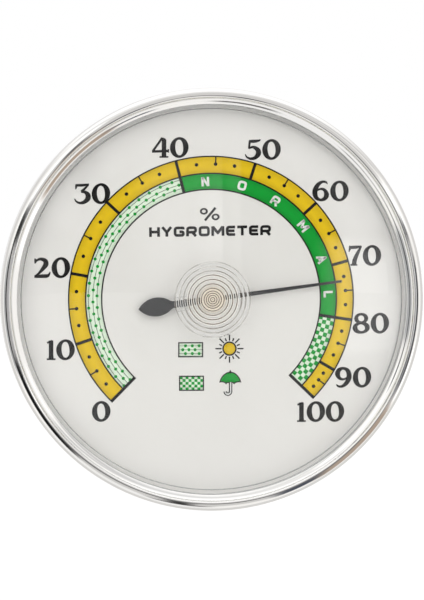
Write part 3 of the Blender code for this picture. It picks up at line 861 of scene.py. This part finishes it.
stations = ([-TAIL + 0.2 * i for i in range(6)] + [-21.6 + 0.6 * i for i in range(17)]
            + [-11.6 + 1.1 * i for i in range(7)] + [-3.3 + 0.3 * i for i in range(23)]
            + [4.0 + 1.2 * i for i in range(31)] + [NEEDLE])
work = bmesh.new()
rows = []
for y in stations:
    half = pointer_half(y) * MM
    rise = RIB * rib_height(y)
    edge = min(0.06 * MM, half * 0.3)
    section = [(-half, POINTER_BACK), (-half, POINTER_FRONT - edge), (-half + edge, POINTER_FRONT),
               (-half * 0.35, POINTER_FRONT + rise * 0.55), (0, POINTER_FRONT + rise),
               (half * 0.35, POINTER_FRONT + rise * 0.55), (half - edge, POINTER_FRONT),
               (half, POINTER_FRONT - edge), (half, POINTER_BACK)]
    rows.append([work.verts.new((x, y * MM, z)) for x, z in section])
for low, high in zip(rows, rows[1:]):
    for i in range(len(low)):
        j = (i + 1) % len(low)
        work.faces.new((low[i], low[j], high[j], high[i]))
work.faces.new(rows[0])
work.faces.new(rows[-1][::-1])
bmesh.ops.recalc_face_normals(work, faces=work.faces)
spindle_hole = lathe([(0, 7 * MM), (1.9 * MM, 7 * MM), (1.9 * MM, 5 * MM), (0, 5 * MM)], 40,
                     closed=False)
needle_mesh = cut(meshed(work, "needle"), [(spindle_hole, at())])
needle = build("needle", needle_mesh, "pointer", pointer_paint, REST, 24,
               weigh=False)
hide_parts("pointer")

# Boss and collar: a turned brass boss, thinly plated and pressed on the spindle. The pointer is
# riveted between its shoulder and the collar.
boss_mesh = lathe([
    (0, 7.6 * MM),
    *[(1.7 * MM * i / 5, (7.6 - 0.12 * (i / 5) ** 2) * MM) for i in range(1, 6)],
    *rounded([(1.9 * MM, 7.46 * MM, 0), (1.95 * MM, 7.3 * MM, 0), (3.2 * MM, 7.2 * MM, 0.15 * MM),
              (3.4 * MM, 6.9 * MM), (3.4 * MM, 6.3 * MM), (1.6 * MM, 6.3 * MM, 0),
              (1.6 * MM, 4.2 * MM), (0.88 * MM, 4.2 * MM), (0.88 * MM, 6.8 * MM, 0)], 0.08 * MM),
    (0, 6.8 * MM),
], 96, closed=False)
plated_brass = metal("plated_brass", (0.96, 0.94, 0.89), 0.3, grain=(1.0, 0.1, 1.0), tarnish=0.15)
boss_piece = build("brass_boss", boss_mesh, "pointer", plated_brass, weigh=False)
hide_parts("pointer_boss")
carried(["pointer_collar"], turned_brass)

# Lens: one clear acrylic moulding, a low dome on a skirt. Fine rings moulded round its middle hide
# the gate; the skirt presses the dial down and shows as two thin lines at the rim.
LENS_TOP, LENS_EDGE, LENS_WALL = 10.6 * MM, 8.5 * MM, 1.8 * MM
DOME_EDGE = 58.8 * MM
FINE_PITCH, WIDE_START, WIDE_PITCH = 0.66, 3.5, 1.35  # of the moulded rings, in millimetres
RIDGES = [FINE_PITCH * (i + 1) for i in range(4)] + [WIDE_START + WIDE_PITCH * i for i in range(7)]
RINGS_END = 13 * MM
NECK_SLOPE = 0.137  # of the counterweight's neck, which the finer bands lie along
clear, shader, place = finish_named("clear_acrylic")
from_middle = from_spindle(place)


def to_ring(start, pitch):
    """Millimetres to the nearest of evenly spaced rings."""
    return ((from_middle - start) / pitch).maths("PINGPONG", 0.5) * pitch


inner_gap = to_ring(0.0, FINE_PITCH)
wide_gap = to_ring(WIDE_START, WIDE_PITCH)
half_gap = to_ring(WIDE_START, WIDE_PITCH / 2)
outer_zone = from_middle.step(2.9, 3.1)
within = 1.0 - from_middle.step(11.7, 12.0)
outer_face = 1.0 - place.axis("Y").step(-10.2 * MM, -9.7 * MM)
shown = within * outer_face
patchy = place.noise(220, 3.0).step(0.35, 0.62)
strong = 1.0 - from_middle.step(7.0, 10.0)
# The dark lines, one in each groove: painted shade in place of the dark that the grooves bend and
# mirror
inner_shade_line = (1.0 - inner_gap.step(0.10, 0.17)) * (1.0 - outer_zone)
outer_shade_line = (1.0 - wide_gap.step(0.13, 0.2)) * outer_zone
lines = (inner_shade_line * 0.84 + outer_shade_line * (patchy * 0.3 + strong * 0.44 + 0.1)) * shown
# The painted highlight bands between the lines, twice as many near the middle and along the neck:
# white painted where the ridges' flanks mirror the bright room
left_side = 1.0 - place.axis("X").step(-2 * MM, 1 * MM)
off_neck = (place.axis("Z") - place.axis("X") * NECK_SLOPE).maths("ABSOLUTE")
near_neck = left_side * (1.0 - off_neck.step(1.9 * MM, 2.4 * MM))
fine_zone = near_neck.maths("MAXIMUM", 1.0 - from_middle.step(8.0, 8.3))
wide_rings = wide_gap.step(0.38, 0.42)
fine_rings = half_gap.step(0.21, 0.23)
outer_rings = wide_rings + fine_zone * (fine_rings - wide_rings)
inner_rings = inner_gap.step(0.16, 0.24)
rings = inner_rings + outer_zone * (outer_rings - inner_rings)
painted_highlight = rings * shown * (patchy * 0.1 + 0.88)
painted_rings_mask = painted_highlight.maths("MAXIMUM", lines)
middle_tint = 1.0 - from_middle.step(3.4, 5.2)
feed(shader, {
    "Base Color": middle_tint.tint((0.985, 0.99, 0.99), (0.98, 0.965, 0.935)),
    "Roughness": lines * 0.08,
    "Transmission Weight": 1.0,
    "IOR": 1.49,
})


def ray(tree, name):
    """What is known of the ray that meets the surface or the sky."""
    return Field(tree).node("ShaderNodeLightPath", output=name)


# Light passes the lens straight through to the dial; every other ray meets acrylic or the painted
# rings of shade and highlight
tree = clear.node_tree
lamp_rays = ray(tree, "Is Shadow Ray")
# Painted highlight bands, paler inside 8 mm and beige in the middle, and painted dark brown lines,
# laid on the lens as a matt surface
highlight_white = from_middle.step(7.5, 8.5).tint((0.74, 0.72, 0.67), (0.54, 0.535, 0.52))
highlight_colour = middle_tint.tint(highlight_white, (0.72, 0.64, 0.53))
painted_rings = lamp_rays.node("ShaderNodeBsdfPrincipled", None, {
    "Base Color": lines.step(0.04, 0.2).tint(highlight_colour, (0.11, 0.075, 0.045)),
    "Roughness": 0.5,
})
cover = lamp_rays.node("ShaderNodeMixShader", None,
                       {0: painted_rings_mask, 1: Field(tree, shader.outputs[0]), 2: painted_rings})
passing = lamp_rays.node("ShaderNodeBsdfTransparent", None, {"Color": (0.94, 0.94, 0.94, 1)})
both = lamp_rays.node("ShaderNodeMixShader", None, {0: lamp_rays, 1: cover, 2: passing})
feed(tree.nodes["Material Output"], {"Surface": both})

rise = LENS_TOP - LENS_EDGE
dome = (DOME_EDGE ** 2 + rise ** 2) / (2 * rise)  # radius of the sphere


def dome_height(radius, top, ridged=False):
    """The height of a face of the dome, with the grooves of the moulded rings if ridged."""
    height = top - dome + math.sqrt(dome ** 2 - radius ** 2)
    if ridged and radius < RINGS_END:
        for ridge in RIDGES:
            wide, deep = (0.13 * MM, 0.09 * MM) if ridge < WIDE_START else (0.17 * MM, 0.13 * MM)
            height -= deep * math.exp(-((radius - ridge * MM) / wide) ** 2)
    return height


top_radii = ([0.05 * MM * i for i in range(1, 256)] + [(12.8 + 2.0 * i) * MM for i in range(1, 23)])
UNDER_TOP = LENS_TOP - LENS_WALL
SKIRT_INSIDE = 58.9 * MM
under_radii = [SKIRT_INSIDE * (1 - i / 14) for i in range(14)]
lens_profile = [
    (0, dome_height(0, LENS_TOP, True)),
    *[(r, dome_height(r, LENS_TOP, True)) for r in top_radii],
    *rounded([
        (DOME_EDGE, LENS_EDGE, 0.25 * MM), (61.6 * MM, LENS_EDGE), (61.6 * MM, 7.2 * MM),
        (60.0 * MM, 7.2 * MM, 0.1 * MM), (60.0 * MM, 3.9 * MM), (SKIRT_INSIDE, 3.9 * MM),
        (SKIRT_INSIDE, dome_height(SKIRT_INSIDE, UNDER_TOP), 0.5 * MM),
        (50 * MM, dome_height(50 * MM, UNDER_TOP), 0),
    ], 0.15 * MM)[1:-1],
    *[(r, dome_height(r, UNDER_TOP)) for r in under_radii if r < 50 * MM],
    (0, UNDER_TOP),
]
lens_piece = build("clear_cover", lathe(lens_profile, 160, closed=False), "case", clear,
                   smooth=50, weigh=False)
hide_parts("lens")

# Bezel: a ring spun from thin brass sheet, polished and chromed. Its lip lies on the lens, the
# rolled bead stands proud, and the rear edge is turned under behind the flange of the case.
chrome, shader, place = finish_named("chrome_plate")
hairline = place.noise(500, 2.0, 0.6)
smudge = place.noise(38, 3.0)
feed(shader, {
    "Base Color": smudge.tint((0.745, 0.735, 0.72), (0.82, 0.812, 0.80)),
    "Metallic": 1.0,
    "Roughness": smudge * 0.07 + hairline * 0.03 + 0.03,
    "Normal": hairline.bump(0.004 * MM, 0.2),
})
SHEET = 0.6 * MM
BEAD = 1.6 * MM
bead_centre = (63.4 * MM, 9.9 * MM)
groove_turn = math.degrees(math.acos((61.9 * MM - bead_centre[0]) / BEAD))
groove = polar(BEAD, groove_turn, bead_centre)
bead_top = bead_centre[1] + BEAD
CREST = 62.75 * MM  # radius of the bead's top, a little inside its centre
OUTER_EDGE = 65.0 * MM
BREAK = math.sin(math.radians(14))  # the outer curve begins as steep as a bead is after 14 degrees
outside = [
    (60.1 * MM, groove[1] - 0.9 * MM), (60.35 * MM, groove[1] - 0.72 * MM),
    (61.0 * MM, groove[1] - 0.46 * MM), (groove[0] - 0.12 * MM, groove[1] - 0.14 * MM),
    *[(CREST - (CREST - groove[0]) * math.cos(math.radians(t)),
       groove[1] + (bead_top - groove[1]) * math.sin(math.radians(t)))
      for t in range(0, 90, 8)],
    *[(CREST + (OUTER_EDGE - CREST) * (math.sin(math.radians(t)) - BREAK) / (1 - BREAK),
       bead_centre[1] + BEAD * math.cos(math.radians(t)) / math.cos(math.asin(BREAK)))
      for t in range(14, 91, 4)],
    (OUTER_EDGE, 6.0 * MM), (OUTER_EDGE, 2.0 * MM),
    *arc((64.6 * MM, -0.8 * MM), 0.4 * MM, 0, -90, 8), (62.2 * MM, -1.2 * MM),
]
inner_bead = BEAD - SHEET
inside = [
    (62.2 * MM, -0.6 * MM), (64.25 * MM, -0.6 * MM), (64.4 * MM, -0.45 * MM), (64.4 * MM, 2.0 * MM),
    *arc(bead_centre, inner_bead, 0, groove_turn, 14),
    (61.9 * MM, groove[1] - 0.72 * MM), (60.3 * MM, groove[1] - 1.38 * MM),
    (60.12 * MM, groove[1] - 1.25 * MM),
]
bezel = build("bezel_spinning", lathe(outside + inside, 256), "case", chrome,
              smooth=35, weigh=False)
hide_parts("bezel_ring")

# Room: a plain pale floor well below the hanging object, and a soft tent of white cloth and dark
# cards all round it. Mirrored rays see the cards, others even light, and the camera plain white.
floor_paint, shader, place = finish_named("floor_paint")
mottle = place.noise(6, 2.0)
feed(shader, {
    "Base Color": mottle.tint((0.84, 0.84, 0.84), (0.86, 0.86, 0.86)),
    "Roughness": 0.8,
})
work = bmesh.new()
bmesh.ops.create_grid(work, x_segments=1, y_segments=1, size=6)
floor_mesh = meshed(work, "floor")
floor_mesh.transform(at(z=cad_box[0].z - 60 * MM))
floor_mesh.materials.append(floor_paint)
floor = placed("floor", floor_mesh)
floor.visible_glossy = False

TENT = 1.18
CARD_EDGE, CARD_SOFT = 3.0, 0.03  # softness of a card's sides in degrees, and of its ends
EVEN_LIGHT = (1.72, 1.71, 1.69)
NEAR_CLOTH = (0.79, 0.78, 0.77)  # round the opening
OPENING = (0.16, 0.16, 0.16)  # where the camera looks through
BEHIND = (0.85, 0.84, 0.83)
OVERHEAD = (1.36, 1.36, 1.36)
MIRROR_ACROSS, MIRROR_ABOVE = 0.06, -0.03  # slopes at which a flat mirror sends the view
world = bpy.data.worlds.new("studio")
bpy.context.scene.world = world
world.use_nodes = True
tree = world.node_tree
sky = Field(tree).node("ShaderNodeTexCoord", output="Generated")
right, ahead, up = sky.axis("X"), sky.axis("Y"), sky.axis("Z")
towards = (0.0 - ahead).maths("MAXIMUM", 0.02)
across = right / towards - MIRROR_ACROSS
above = up / towards - MIRROR_ABOVE


def window(field, low, high, soft):
    """1 between two values of a field."""
    return field.step(low - soft, low + soft) * (1.0 - field.step(high - soft, high + soft))


def card(turn, half, near, far):
    """A sector of the tent at an angle clockwise from the top, between two slopes outwards."""
    sine, cosine = math.sin(math.radians(turn)), math.cos(math.radians(turn))
    outwards = across * sine + above * cosine
    sideways = across * cosine - above * sine
    ratio = sideways.maths("ABSOLUTE") / outwards.maths("MAXIMUM", 0.004)
    low, high = (math.tan(math.radians(half + edge)) for edge in (-CARD_EDGE, CARD_EDGE))
    return (1.0 - ratio.step(low, high)) * window(outwards, near, far, CARD_SOFT)


spread = (across * across + above * above).maths("SQRT")
colour = (up * 0.5 + 0.5).tint((TENT, TENT * 0.99, TENT * 0.975), (TENT, TENT * 0.99, TENT * 0.97))
colour = (1.0 - spread.step(0.7, 1.0)).tint(colour, NEAR_CLOTH)
CARDS = (  # turn, half angle, slopes from and to, colour
    (310, 20, 0.6, 1.15, (1.4, 1.4, 1.4)), (64, 7, 0.3, 1.15, (1.5, 1.5, 1.5)),
    (205, 26, 0.95, 1.8, (1.12, 1.12, 1.12)), (122, 20, 0.9, 1.6, (1.5, 1.5, 1.5)),
    (8, 47, 0.85, 1.6, (0.74, 0.74, 0.74)), (265, 17, 0.85, 1.6, (0.52, 0.53, 0.54)),
    (134, 14, 0.12, 1.5, (0.52, 0.42, 0.34)), (98, 20, 0.0, 0.55, (0.36, 0.37, 0.39)),
    (153, 7, 0.0, 1.1, (0.09, 0.10, 0.13)), (187, 9, 0.85, 1.1, (0.2, 0.19, 0.19)),
    (187, 4, 0.05, 0.9, (0.03, 0.03, 0.03)), (267, 15, 0.12, 0.6, (0.5, 0.49, 0.5)),
    (236, 17, 0.1, 0.9, (0.012, 0.012, 0.013)), (274, 21, 0.62, 0.9, (0.02, 0.02, 0.02)),
    (292, 6, 0.12, 0.9, (0.02, 0.02, 0.02)), (97, 18, 0.5, 0.74, (0.04, 0.04, 0.045)),
    (71, 3, 0.2, 0.7, (0.06, 0.06, 0.07)), (319, 5, 0.12, 0.5, (0.06, 0.06, 0.07)),
)
for turn, half, near, far, shade in CARDS:
    colour = card(turn, half, near, far).tint(colour, shade)
colour = (1.0 - spread.step(0.14, 0.22)).tint(colour, OPENING)
PANELS = (  # slopes to the right and up, from and to with their softness, and the brightness
    ((-0.3, 0.3, 0.02), (-0.4, -0.15, 0.02), 0.2),
    ((-0.055, 0.0235, 0.001), (0.02, 0.14, 0.04), 0.7),
    ((-0.012, 0.0235, 0.001), (-0.2, 0.02, 0.03), 0.35),
    ((0.012, 0.0235, 0.001), (0.035, 0.11, 0.03), 1.7),
    ((0.0235, 0.041, 0.002), (0.0, 0.16, 0.03), 0.6),
    ((-0.025, 0.049, 0.008), (-0.25, -0.085, 0.02), 0.04),
    ((0.128, 0.3, 0.004), (-0.05, 0.06, 0.006), 1.5),
    ((-0.24, -0.09, 0.01), (-0.13, -0.06, 0.02), 0.5),
)
for (low, high, soft), heights, bright in PANELS:
    left_soft = max(soft, 0.02)
    left = across.step(low - left_soft, low + left_soft)
    panel = left * (1.0 - across.step(high - soft, high + soft)) * window(above, *heights)
    colour = panel.tint(colour, (bright, bright, bright))
mirrored = ray(tree, "Is Glossy Ray") * (1.0 - ray(tree, "Diffuse Depth").maths("MINIMUM", 1.0))
colour = mirrored.tint(EVEN_LIGHT, colour)
colour = ahead.step(-0.5, -0.25).tint(colour, BEHIND)
colour = up.step(0.55, 0.85).tint(colour, OVERHEAD)
colour = ray(tree, "Is Camera Ray").tint(colour, (1.0, 1.0, 1.0))
feed(tree.nodes["Background"], {"Color": colour})

# Camera: a long lens a little to the left of and above the spindle's axis, far enough away that
# the dial shows almost without perspective.
CAMERA_TURN, CAMERA_RISE = -4.2, 1.6
DISTANCE = 1.5  # from the middle of the bead
VIEW_HEIGHT = 184.4 * MM  # what the picture takes in at that distance
aim = Vector((0.55 * MM, 0, -0.4 * MM))
turn, rise = math.radians(CAMERA_TURN), math.radians(CAMERA_RISE)
back = Vector((math.sin(turn) * math.cos(rise), -math.cos(turn) * math.cos(rise), math.sin(rise)))
camera_data = bpy.data.cameras.new("camera")
camera_data.lens = camera_data.sensor_width * DISTANCE / VIEW_HEIGHT
camera_data.clip_end = 20
camera = placed("camera", camera_data)
camera.location = aim + back * (DISTANCE + bead_centre[1])
camera.rotation_mode = "QUATERNION"
camera.rotation_quaternion = (-back).to_track_quat("-Z", "Y")
bpy.context.scene.camera = camera
bpy.context.scene.view_settings.view_transform = "Standard"
